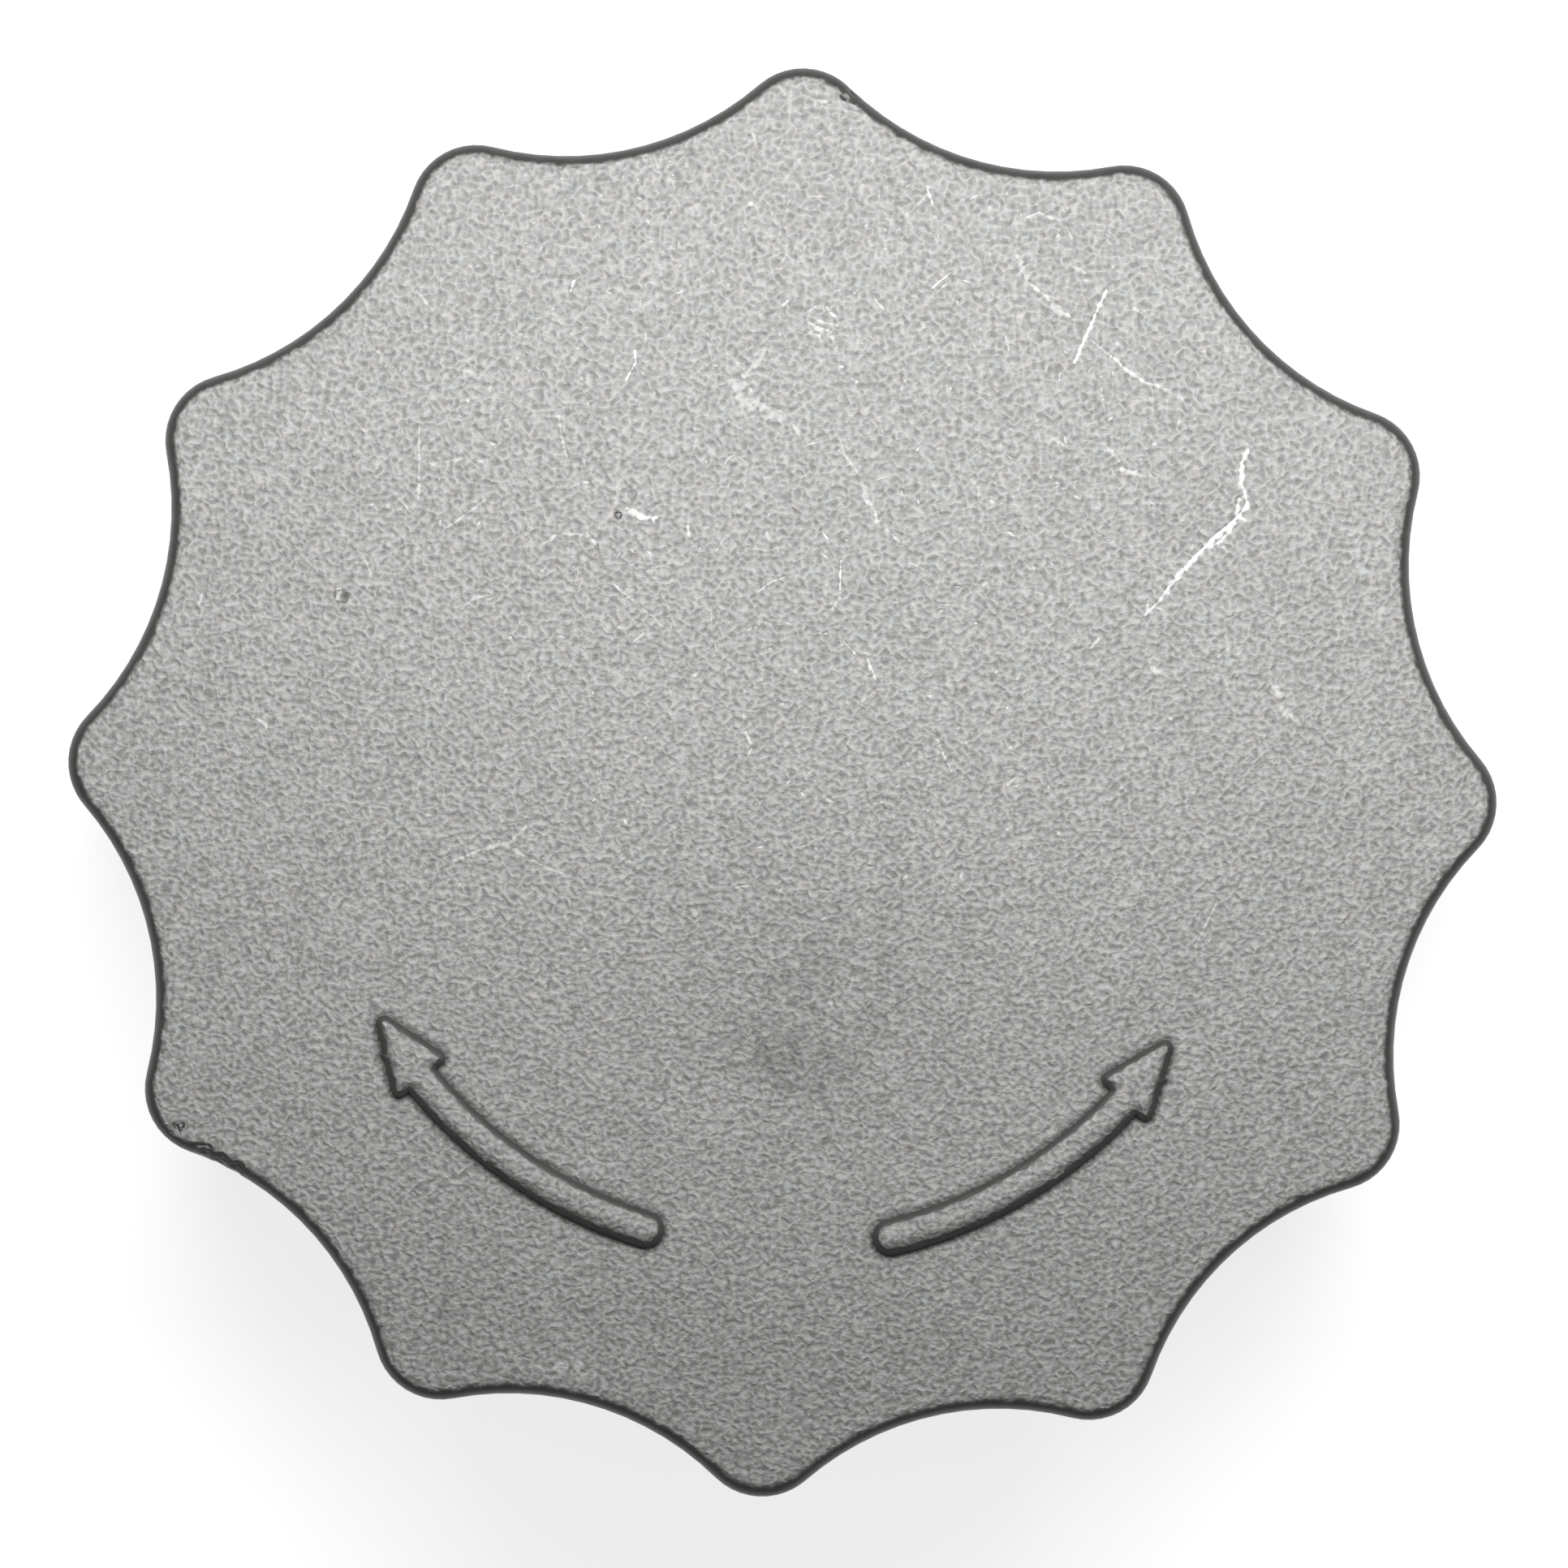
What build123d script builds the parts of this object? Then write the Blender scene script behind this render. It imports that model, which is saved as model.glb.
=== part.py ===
from build123d import *
from math import cos, radians, sin, tan
import os

# Bayonet oil filler cap. Two pieces: a moulded cap body, which is a scalloped grip
# with a hollow spigot below it, and the rubber ring that seals it on the filler neck.
# Millimetres. +Z runs up the cap's axis, out of the grip's face, and -Y points to the
# lobe between the two arrows. The origin is on the axis in the plane where the ring
# meets the neck, so the grip stands above it and the spigot hangs below it.

# Grip outline, at the level of the grip's face as if its edge were sharp
LOBES = 12
TIP_RADIUS = 39.0
SCALLOP_DEPTH = 3.45
TIP_ROUND = 3.6

# Grip section
PLATE_THICKNESS = 3.0
SKIRT_HEIGHT = 12.0  # from the grip's face down to the open rim
SKIRT_WALL = 2.2
SKIRT_DRAFT = 1.5  # degrees, so that the moulding leaves its tool
FACE_EDGE_ROUND = 0.9
RIM_EDGE_ROUND = 0.4

# Spigot, which goes down into the filler neck
SPIGOT_RADIUS = 20.0
SPIGOT_WALL = 2.4
SPIGOT_LENGTH = 19.0  # below the plate
SPIGOT_LEAD_IN = 0.8

# Bayonet lugs at the spigot's lower end, each with a stop rib
LUGS = 2
LUG_REACH = 3.2  # out from the spigot
LUG_HEIGHT = 4.0
LUG_ARC = 42.0  # degrees
LUG_RAMP_ARC = 24.0  # the leading part, which draws the cap down
LUG_RAMP_DROP = 1.6
LUG_CORNER_ROUND = 1.5
LUG_EDGE_ROUND = 0.6
STOP_ARC = 5.0  # degrees
STOP_REACH = 1.8
STOP_HEIGHT = 5.0  # above the lug

# Sealing ring, and the rib under the plate that keeps it in place
SEAL_WIDTH = 6.5
SEAL_HEIGHT = 3.5
SEAL_EDGE_ROUND = 0.5
SEAL_CLEARANCE = 0.3  # between the ring and the retaining rib
RETAINER_WALL = 1.2
RETAINER_HEIGHT = 2.0

# Webs from the retaining rib to the skirt, one behind each scallop
WEB_THICKNESS = 1.5
WEB_HEIGHT = 5.0

# Raised turning arrows on the face, one each way from the -Y lobe.
# The head's angles and width are those of the triangle before its corners are rounded.
ARROW_RADIUS = 25.5
ARROW_WIDTH = 2.0
ARROW_HEIGHT = 0.65
ARROW_TAIL_ANGLE = 15.2  # degrees from -Y to the centre of the round tail
ARROW_HEAD_ANGLE = 48.5
ARROW_TIP_ANGLE = 59.7
ARROW_HEAD_WIDTH = 4.0
ARROW_CORNER_ROUND = 0.45
ARROW_SIDE_DROP = 0.5  # sloping side: this far down and this far in
ARROW_SIDE_RUN = 0.4

# Levels and radii that follow from the sizes above
HALF_PITCH = 180 / LOBES
ROOT_RADIUS = TIP_RADIUS - SCALLOP_DEPTH
PLATE_UNDERSIDE = SEAL_HEIGHT
FACE = PLATE_UNDERSIDE + PLATE_THICKNESS
RIM = FACE - SKIRT_HEIGHT
DRAFT_RUN = SKIRT_HEIGHT * tan(radians(SKIRT_DRAFT))  # the rim stands out this far
SPIGOT_END = PLATE_UNDERSIDE - SPIGOT_LENGTH
SPIGOT_BORE = SPIGOT_RADIUS - SPIGOT_WALL
SPIGOT_MID_WALL = SPIGOT_RADIUS - SPIGOT_WALL / 2
SEAL_OUTER_RADIUS = SPIGOT_RADIUS + SEAL_WIDTH
RETAINER_BORE = SEAL_OUTER_RADIUS + SEAL_CLEARANCE
RETAINER_RADIUS = RETAINER_BORE + RETAINER_WALL


def polar(radius, angle, level=0):
    """Point at this radius, at this angle in degrees from +X, and at this level."""
    return Vector(radius * cos(radians(angle)), radius * sin(radians(angle)), level)


def grip_outline(inset):
    """Flat face inside the lobed outline, drawn in by inset all round.

    A lobe is a convex arc and a scallop a concave arc. The scallop's radius is the one
    that makes it tangent to the lobes on both sides.
    """
    lobe_centre = TIP_RADIUS - TIP_ROUND
    along = lobe_centre * cos(radians(HALF_PITCH))
    scallop_radius = (lobe_centre**2 + ROOT_RADIUS**2 - 2 * ROOT_RADIUS * along - TIP_ROUND**2) / (
        2 * (along + TIP_ROUND - ROOT_RADIUS)
    )

    def tangent_point(lobe_angle, side):
        lobe = polar(lobe_centre, lobe_angle)
        scallop = polar(ROOT_RADIUS + scallop_radius, lobe_angle + side * HALF_PITCH)
        return lobe + (scallop - lobe).normalized() * (TIP_ROUND - inset)

    edges = []
    for index in range(LOBES):
        angle = 2 * HALF_PITCH * index
        lobe_start = tangent_point(angle, -1)
        lobe_end = tangent_point(angle, 1)
        next_lobe_start = tangent_point(angle + 2 * HALF_PITCH, -1)
        tip = polar(TIP_RADIUS - inset, angle)
        root = polar(ROOT_RADIUS - inset, angle + HALF_PITCH)
        edges.append(ThreePointArc(lobe_start, tip, lobe_end))
        edges.append(ThreePointArc(lobe_end, root, next_lobe_start))
    return make_face(edges)


def ring(outer_radius, inner_radius, bottom, top):
    """Upright ring between two radii and two levels."""
    upright = (Align.CENTER, Align.CENTER, Align.MIN)
    disc = Cylinder(outer_radius, top - bottom, align=upright)
    hole = Cylinder(inner_radius, top - bottom, align=upright)
    return Pos(0, 0, bottom) * (disc - hole)


def sector(outer_radius, inner_radius, start, arc):
    """Flat face between two radii, from the start angle on through the arc, in degrees."""
    outer = CenterArc((0, 0), outer_radius, start, arc)
    inner = CenterArc((0, 0), inner_radius, start, arc)
    return make_face([outer, inner, Line(inner @ 0, outer @ 0), Line(inner @ 1, outer @ 1)])


def grip():
    """Plate and skirt in one: a shallow lobed cup, open downward, of even wall."""
    foot = grip_outline(-DRAFT_RUN)
    block = Pos(0, 0, RIM) * extrude(foot, SKIRT_HEIGHT, taper=SKIRT_DRAFT)
    block = fillet(block.edges().group_by(Axis.Z)[-1], FACE_EDGE_ROUND)
    mouth = grip_outline(SKIRT_WALL - DRAFT_RUN)
    hollow = extrude(mouth, SKIRT_HEIGHT - PLATE_THICKNESS, taper=SKIRT_DRAFT)
    cup = block - Pos(0, 0, RIM) * hollow
    return fillet(cup.edges().group_by(Axis.Z)[0], RIM_EDGE_ROUND)


def arrow(side):
    """Raised arrow that curves about the axis, towards +X for side 1 or -X for side -1."""
    tail_angle = -90 + side * ARROW_TAIL_ANGLE
    head_angle = -90 + side * ARROW_HEAD_ANGLE
    tip_angle = -90 + side * ARROW_TIP_ANGLE
    middle = (head_angle + tip_angle) / 2
    outer = ARROW_RADIUS + ARROW_WIDTH / 2
    inner = ARROW_RADIUS - ARROW_WIDTH / 2
    shaft = sector(outer, inner, tail_angle, middle - tail_angle)
    tail = Pos(polar(ARROW_RADIUS, tail_angle)) * Circle(ARROW_WIDTH / 2)
    barbs = [polar(ARROW_RADIUS + way * ARROW_HEAD_WIDTH / 2, head_angle) for way in (-1, 1)]
    head = make_face(Polyline(*barbs, polar(ARROW_RADIUS, tip_angle), close=True))
    head = fillet(head.vertices(), ARROW_CORNER_ROUND)
    raised = Pos(0, 0, FACE) * extrude(shaft + tail + head, ARROW_HEIGHT)
    top_edges = raised.edges().group_by(Axis.Z)[-1]
    top_face = raised.faces().sort_by(Axis.Z)[-1]
    return chamfer(top_edges, ARROW_SIDE_RUN, ARROW_SIDE_DROP, reference=top_face)


def lug(centre_angle):
    """Bayonet lug, ramped on its leading end so that it draws the cap down on the neck.

    The cap closes clockwise as seen from above, so the lug's lower angle leads.
    """
    start = centre_angle - LUG_ARC / 2
    top = SPIGOT_END + LUG_HEIGHT
    foot = sector(SPIGOT_RADIUS + LUG_REACH, SPIGOT_MID_WALL, start, LUG_ARC)
    corners = [corner for corner in foot.vertices() if corner.center().length > SPIGOT_RADIUS]
    foot = fillet(corners, LUG_CORNER_ROUND)
    block = Pos(0, 0, SPIGOT_END) * extrude(foot, LUG_HEIGHT)
    lowest_arcs = block.edges().group_by(Axis.Z)[0].filter_by(GeomType.CIRCLE)
    inward_out = lowest_arcs.sort_by(Axis((0, 0, 0), polar(1, centre_angle)))
    block = fillet(inward_out[1:], LUG_EDGE_ROUND)
    ramp_top = polar(SPIGOT_RADIUS, start + LUG_RAMP_ARC, top)
    down_ramp = polar(SPIGOT_RADIUS, start, top - LUG_RAMP_DROP) - ramp_top
    outward = polar(1, start + LUG_RAMP_ARC / 2)
    ramp = Plane(origin=ramp_top, x_dir=down_ramp, z_dir=down_ramp.cross(outward))
    above = Box(2 * down_ramp.length, 4 * LUG_REACH, LUG_HEIGHT, align=(Align.MIN, Align.CENTER, Align.MIN))
    return block - ramp * above


def stop_rib(centre_angle):
    """Upright rib on a lug's trailing end, which ends the turn."""
    start = centre_angle + LUG_ARC / 2 - STOP_ARC
    foot = sector(SPIGOT_RADIUS + STOP_REACH, SPIGOT_MID_WALL, start, STOP_ARC)
    return Pos(0, 0, SPIGOT_END + LUG_HEIGHT / 2) * extrude(foot, LUG_HEIGHT / 2 + STOP_HEIGHT)


def spigot():
    """Hollow spigot, open at its lower end, with its lugs."""
    tube = ring(SPIGOT_RADIUS, SPIGOT_BORE, SPIGOT_END, PLATE_UNDERSIDE)
    tube = chamfer(tube.edges().group_by(Axis.Z)[0].sort_by(SortBy.LENGTH)[-1], SPIGOT_LEAD_IN)
    for index in range(LUGS):
        tube += lug(360 / LUGS * index) + stop_rib(360 / LUGS * index)
    return tube


def retainer():
    """Rib round the sealing ring, tied to the skirt by a web behind each scallop."""
    rib = ring(RETAINER_RADIUS, RETAINER_BORE, PLATE_UNDERSIDE - RETAINER_HEIGHT, PLATE_UNDERSIDE)
    start = RETAINER_RADIUS - RETAINER_WALL / 2
    end = ROOT_RADIUS - SKIRT_WALL / 2
    web = Box(end - start, WEB_THICKNESS, WEB_HEIGHT, align=(Align.MIN, Align.CENTER, Align.MAX))
    for index in range(LOBES):
        angle = HALF_PITCH * (2 * index + 1)
        rib += Rot(0, 0, angle) * Pos(start, 0, PLATE_UNDERSIDE) * web
    return rib


def cap_body():
    """The whole moulding."""
    return grip() + arrow(1) + arrow(-1) + spigot() + retainer()


def seal_ring():
    """Flat rubber ring with rounded edges, gripping the spigot right under the plate."""
    body = ring(SEAL_OUTER_RADIUS, SPIGOT_RADIUS, PLATE_UNDERSIDE - SEAL_HEIGHT, PLATE_UNDERSIDE)
    return fillet(body.edges().filter_by(GeomType.CIRCLE), SEAL_EDGE_ROUND)


os.makedirs("parts", exist_ok=True)
export_step(cap_body(), "parts/cap_body.step")
export_step(seal_ring(), "parts/seal_ring.step")
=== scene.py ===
import math

import bmesh
import bpy
import numpy as np
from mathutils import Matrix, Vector
from mathutils import noise


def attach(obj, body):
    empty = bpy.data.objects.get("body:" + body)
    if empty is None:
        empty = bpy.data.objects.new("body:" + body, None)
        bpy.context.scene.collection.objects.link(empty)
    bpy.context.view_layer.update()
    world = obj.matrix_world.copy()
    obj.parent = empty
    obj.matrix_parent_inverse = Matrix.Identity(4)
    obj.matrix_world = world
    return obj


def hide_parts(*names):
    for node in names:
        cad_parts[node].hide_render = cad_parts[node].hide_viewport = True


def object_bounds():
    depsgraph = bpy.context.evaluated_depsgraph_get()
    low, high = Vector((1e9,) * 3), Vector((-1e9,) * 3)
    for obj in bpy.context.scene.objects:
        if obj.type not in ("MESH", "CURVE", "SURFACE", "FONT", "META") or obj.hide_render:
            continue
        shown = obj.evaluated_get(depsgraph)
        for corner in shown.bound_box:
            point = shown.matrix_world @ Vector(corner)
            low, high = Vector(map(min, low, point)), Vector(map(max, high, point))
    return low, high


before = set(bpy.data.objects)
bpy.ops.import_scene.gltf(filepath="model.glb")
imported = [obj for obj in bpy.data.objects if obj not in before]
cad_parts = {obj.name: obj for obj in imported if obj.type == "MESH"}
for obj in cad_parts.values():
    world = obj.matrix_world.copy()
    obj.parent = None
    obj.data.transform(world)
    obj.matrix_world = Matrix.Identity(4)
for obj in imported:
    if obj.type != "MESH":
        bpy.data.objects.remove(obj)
cad_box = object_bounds()

# ---- Cap body -------------------------------------------------------------------------------------
# The grip, spigot and lugs are one shot of glass-filled nylon. The mould's face was spark-eroded, which
# leaves a fine worm-like grain; its walls were polished. Years of use have scratched, nicked and stained
# the face, and the deeper marks are cut into the mesh here, in millimetres.

FACE_LEVEL = 6.5
LEVEL_SLACK = 0.002        # a point this near the face's level is on it
RAISED_FROM = FACE_LEVEL + 0.0005
FLAT_NORMAL = 0.99         # the least Z of a flat face's normal
FACE_INSET = 0.06
FACE_CELL = 0.8
FACE_CELLS = 49            # cells each way from the middle
CELL_OFFSET = 0.013        # keeps the cuts off the outline's own points
ROUNDED_EDGE_FROM = 5.4
SHARP_EDGE_ANGLE = math.radians(42)
METRES_PER_MM = 0.001

# Each scratch is its whiteness from 0 to 1, its half width, its depth and the points along it. Its
# effect fades out at SCRATCH_REACH half widths. One entry is a painted highlight, marked below.
SCRATCH_REACH = 2.2
SCRATCHES_AND_HIGHLIGHT = [
    # The two deep ones on the right, left by a tool.
    (0.95, 0.10, 0.04, [(16.8, 27.4), (16.0, 25.4), (15.2, 23.4)]),
    (0.90, 0.12, 0.04, [(24.8, 18.9), (24.5, 18.2), (24.5, 17.1)]),
    (0.75, 0.10, 0.03, [(24.5, 17.1), (24.7, 16.6), (24.9, 15.8)]),
    (0.70, 0.09, 0.03, [(24.4, 16.3), (24.3, 15.4), (24.8, 15.1)]),
    (0.85, 0.12, 0.04, [(24.9, 15.9), (24.3, 15.2), (23.2, 14.1)]),
    (0.80, 0.10, 0.03, [(24.2, 14.9), (23.5, 13.9), (22.9, 13.6)]),
    (0.95, 0.13, 0.05, [(23.4, 14.4), (22.3, 13.2), (21.1, 11.8), (20.6, 11.1)]),
    (0.65, 0.08, 0.03, [(20.6, 11.1), (20.2, 10.5), (19.5, 9.8)]),
    (0.55, 0.08, 0.02, [(19.6, 10.5), (19.6, 9.9)]),
    # The long broken curve above them.
    (0.30, 0.10, 0.01, [(11.9, 29.1), (12.2, 28.5), (12.5, 27.7)]),
    (0.55, 0.08, 0.01, [(12.5, 27.7), (13.6, 26.9), (14.1, 26.3), (14.9, 25.9)]),
    (0.25, 0.20, 0.01, [(13.8, 26.7), (14.2, 26.2)]),
    (0.55, 0.07, 0.01, [(16.0, 24.7), (16.9, 24.0), (17.5, 23.6)]),
    (0.60, 0.08, 0.01, [(17.5, 23.6), (18.1, 23.0), (19.0, 22.5), (19.9, 22.2)]),
    (0.25, 0.08, 0.01, [(19.9, 22.2), (21.2, 21.6)]),
    (0.45, 0.06, 0.01, [(18.3, 26.5), (19.0, 26.0)]),
    # The cluster left of the middle, where a spanner has skidded.
    (0.50, 0.07, 0.01, [(-0.8, 26.0), (-0.5, 26.3)]),
    (0.60, 0.06, 0.01, [(-1.1, 25.0), (-0.9, 24.4)]),
    (0.40, 0.06, 0.01, [(0.4, 25.6), (1.0, 26.0)]),
    (0.85, 0.07, 0.02, [(1.6, 26.0), (1.8, 25.7), (2.1, 25.5)]),
    (0.40, 0.06, 0.01, [(0.1, 24.8), (1.3, 24.4)]),
    (0.50, 0.06, 0.01, [(0.6, 25.1), (2.1, 24.6)]),
    (0.55, 0.06, 0.01, [(0.9, 24.9), (2.0, 24.3)]),
    (0.40, 0.06, 0.01, [(1.2, 25.2), (2.2, 25.0)]),
    (0.28, 0.11, 0.01, [(-1.6, 23.8), (-1.9, 23.1), (-2.8, 22.1)]),
    (0.25, 0.24, 0.00, [(-3.4, 21.7), (-2.9, 21.5)]),
    (0.30, 0.20, 0.01, [(-3.2, 21.5), (-2.8, 20.5), (-2.2, 20.3)]),
    (0.28, 0.22, 0.01, [(-2.4, 20.9), (-1.5, 20.3), (-0.6, 19.9)]),
    (0.35, 0.08, 0.01, [(0.0, 19.5), (0.4, 18.8)]),
    (0.45, 0.06, 0.01, [(2.6, 18.7), (2.8, 18.1), (3.2, 17.5), (3.6, 17.0)]),
    (0.25, 0.14, 0.01, [(4.0, 16.3), (4.1, 15.6)]),
    (0.50, 0.09, 0.01, [(4.1, 15.6), (4.6, 14.9), (4.7, 14.4)]),
    (0.45, 0.07, 0.01, [(5.2, 14.0), (6.0, 13.3)]),
    (0.80, 0.06, 0.02, [(2.8, 12.2), (2.8, 10.6)]),
    (0.35, 0.08, 0.01, [(2.8, 10.2), (2.4, 9.5)]),
    (0.75, 0.06, 0.02, [(3.1, 7.8), (3.8, 7.1)]),
    (0.70, 0.09, 0.02, [(4.4, 6.9), (4.9, 5.8)]),
    # Single cuts on the upper right.
    (0.90, 0.06, 0.02, [(6.9, 32.6), (7.2, 31.8)]),
    (0.30, 0.07, 0.01, [(5.7, 31.0), (6.9, 32.3)]),
    (0.30, 0.08, 0.01, [(0.5, 32.0), (1.4, 32.0)]),
    (0.40, 0.06, 0.01, [(12.3, 31.2), (13.0, 31.5), (13.8, 31.2)]),
    (0.80, 0.05, 0.02, [(7.3, 27.2), (8.3, 28.1)]),
    (0.60, 0.05, 0.01, [(7.6, 27.0), (8.1, 27.5)]),
    (0.35, 0.07, 0.01, [(14.9, 28.6), (15.6, 28.3)]),
    (0.40, 0.06, 0.01, [(11.4, 24.7), (11.6, 23.9)]),
    (0.50, 0.06, 0.01, [(14.4, 23.1), (14.4, 22.4)]),
    (0.45, 0.06, 0.01, [(16.7, 22.0), (16.8, 21.4)]),
    (0.35, 0.09, 0.01, [(17.0, 19.0), (17.9, 18.0)]),
    (0.50, 0.12, 0.01, [(17.9, 17.7), (18.9, 17.4)]),
    (0.50, 0.06, 0.01, [(14.1, 17.1), (14.8, 16.5)]),
    (0.30, 0.06, 0.01, [(14.1, 19.2), (14.9, 18.8)]),
    (0.35, 0.06, 0.01, [(9.6, 17.0), (10.2, 16.4), (10.2, 15.8)]),
    (0.55, 0.05, 0.01, [(16.2, 14.4), (16.9, 14.0), (17.6, 13.7)]),
    (0.40, 0.06, 0.01, [(13.1, 10.9), (14.3, 10.6)]),
    (0.50, 0.07, 0.01, [(16.6, 7.9), (17.0, 8.4)]),
    (0.45, 0.12, 0.01, [(19.9, 6.9), (20.3, 6.7)]),
    (0.35, 0.07, 0.01, [(23.5, 7.6), (24.2, 8.2)]),
    (0.45, 0.16, 0.01, [(26.6, 6.1), (26.9, 5.8)]),
    (0.45, 0.18, 0.01, [(27.2, 4.8), (27.5, 4.5)]),
    (0.70, 0.05, 0.02, [(8.3, 2.8), (8.7, 1.9), (9.2, 0.9)]),
    (0.45, 0.08, 0.01, [(12.3, 0.3), (12.7, 0.7)]),
    (0.35, 0.06, 0.01, [(23.9, -5.7), (22.7, -8.4)]),
    (0.60, 0.10, 0.02, [(32.3, 20.2), (32.9, 19.7)]),
    # The left side.
    (0.40, 0.07, 0.01, [(-20.8, 26.2), (-19.9, 25.2)]),
    (0.80, 0.07, 0.02, [(-12.2, 27.0), (-12.4, 26.4)]),
    (0.80, 0.07, 0.02, [(-8.8, 23.3), (-8.7, 22.7), (-9.2, 21.7)]),
    (0.40, 0.06, 0.01, [(-20.4, 18.8), (-20.3, 14.9)]),
    (0.45, 0.06, 0.01, [(-12.8, 19.6), (-12.7, 18.8), (-12.3, 17.3)]),
    (0.30, 0.07, 0.01, [(-19.6, 16.8), (-18.0, 17.1)]),
    (0.40, 0.06, 0.01, [(-18.6, 13.4), (-17.3, 14.4), (-16.7, 14.9)]),
    (0.55, 0.05, 0.01, [(-23.1, 11.4), (-22.7, 10.5)]),
    (0.40, 0.07, 0.01, [(-17.8, 8.9), (-17.2, 9.5), (-16.4, 9.7)]),
    (0.45, 0.07, 0.01, [(-13.4, 12.6), (-12.8, 13.1)]),
    (0.35, 0.07, 0.01, [(-12.3, 13.2), (-11.4, 13.2)]),
    (0.60, 0.07, 0.01, [(-11.1, 13.3), (-10.6, 12.7)]),
    (0.60, 0.05, 0.02, [(-10.0, 10.9), (-9.1, 10.2), (-8.0, 9.3), (-7.3, 8.8), (-6.7, 8.2)]),
    (0.45, 0.06, 0.01, [(-8.4, 7.4), (-7.8, 7.9)]),
    (0.50, 0.06, 0.01, [(-1.6, 10.4), (-1.0, 10.9), (-0.2, 11.2)]),
    (0.45, 0.05, 0.01, [(-1.4, 8.8), (-0.5, 8.4), (-0.3, 8.1)]),
    (0.40, 0.05, 0.01, [(-4.0, 12.5), (-3.5, 13.4)]),
    (0.60, 0.10, 0.02, [(-5.6, 13.8), (-5.5, 13.4)]),
    (0.50, 0.10, 0.01, [(-1.3, 13.6), (-1.2, 13.3)]),
    (0.55, 0.08, 0.01, [(-2.1, 2.7), (-1.8, 2.1)]),
    (0.45, 0.07, 0.01, [(-17.7, -4.8), (-16.2, -4.1)]),
    (0.30, 0.08, 0.01, [(-16.2, -4.1), (-14.7, -3.7), (-13.9, -2.8)]),
    (0.25, 0.07, 0.01, [(-15.1, -3.8), (-13.0, -4.9), (-11.5, -5.5)]),
    (0.25, 0.07, 0.01, [(-5.4, -1.6), (-3.6, -2.4)]),
    (0.60, 0.08, 0.02, [(-28.7, 2.6), (-28.2, 2.2)]),
    (0.40, 0.07, 0.01, [(-31.9, 9.4), (-32.1, 8.8)]),
    # Painted highlight, not a scratch: the lit left wall of the pit at (-24.4, 9.4).
    (0.90, 0.14, 0.0, [(-24.6, 9.3), (-24.5, 9.7)]),
    # The knock left of the middle.
    (0.95, 0.15, 0.04, [(-8.6, 14.5), (-8.1, 14.2), (-7.3, 14.2)]),
    (0.55, 0.09, 0.01, [(-9.0, 14.7), (-8.6, 14.5)]),
    # Dabs of dried white paint at the lower left edge.
    (0.22, 0.20, 0.0, [(-13.4, -31.8), (-13.5, -32.0)]),
    (0.20, 0.16, 0.0, [(-13.1, -32.4), (-12.9, -32.6)]),
    (0.16, 0.18, 0.0, [(-12.3, -32.3), (-12.0, -32.4)]),
    (0.28, 0.22, 0.0, [(-11.2, -32.2), (-11.0, -32.4)]),
    (0.26, 0.24, 0.0, [(-10.2, -31.9), (-10.1, -32.2)]),
    (0.20, 0.18, 0.0, [(-9.7, -32.6), (-9.5, -32.6)]),
]

# Each pit is its middle, its radius and its depth. A chip in the rounded edge goes much deeper.
PITS = [
    ((-24.4, 9.4), 0.46, 0.12),
    ((-8.7, 15.4), 0.30, 0.10),
    ((-9.4, 14.3), 0.24, 0.12),
    ((2.6, -16.8), 0.34, 0.06),
    ((-28.3, -15.6), 0.22, 0.06),
    ((-19.9, 0.7), 0.20, 0.06),
    ((6.1, 15.0), 0.20, 0.05),
    ((6.4, 1.2), 0.16, 0.05),
]
CHIPS = [
    ((-32.4, -19.9), 0.50, 0.16),
    ((-31.0, -21.1), 0.60, 0.12),
    ((-30.0, -21.6), 0.50, 0.14),
    ((-29.1, -22.0), 0.45, 0.10),
    ((2.4, 37.6), 0.55, 0.14),
]

# Each stain is its middle, its reach along and across, the way it lies in degrees, and its darkness. Most
# are oil stains;
# two are painted shade, marked below.
STAINS_AND_SHADE = [
    ((0.7, -14.9), (7.0, 3.8), -18, 1.0),
    # Painted shade, not a stain: the lower middle of the face darker, as a slight dome tilting away from the
    # light would show; the face is flat.
    ((2.0, -10.5), (17.0, 10.5), -12, 0.55),
    ((-25.1, -3.9), (1.7, 0.7), -42, 0.90),
    # Painted shadow: the dark crescent on the right wall of the pit at (-24.4, 9.4).
    ((-24.1, 9.4), (0.3, 0.6), -10, 1.0),
    ((-22.3, -1.0), (1.5, 1.0), -30, 0.55),
    ((-21.2, -4.3), (0.9, 0.5), 0, 0.50),
    ((-17.4, -29.1), (1.5, 0.8), -45, 0.90),
    ((7.0, -31.1), (0.9, 0.9), 0, 0.70),
    ((4.7, 33.3), (1.4, 0.9), 10, 0.60),
    ((6.2, 17.4), (0.9, 0.5), 20, 0.60),
    ((-11.9, 28.3), (0.7, 0.3), 0, 0.70),
    ((-13.6, -6.1), (1.3, 0.5), 20, 0.45),
    ((31.2, 12.0), (0.7, 0.5), 0, 0.45),
]

cap = bmesh.new()
cap.from_mesh(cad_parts["cap_body"].data)
bmesh.ops.scale(cap, vec=(1 / METRES_PER_MM,) * 3, verts=cap.verts)
bmesh.ops.remove_doubles(cap, verts=cap.verts, dist=LEVEL_SLACK)


def unique(parts):
    """The parts of a mesh without repeats, in the order they come, so that each run cuts it alike."""
    return list(dict.fromkeys(parts))


def on_face(face):
    level = all(abs(v.co.z - FACE_LEVEL) < LEVEL_SLACK for v in face.verts)
    return level and face.normal.z > FLAT_NORMAL


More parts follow.
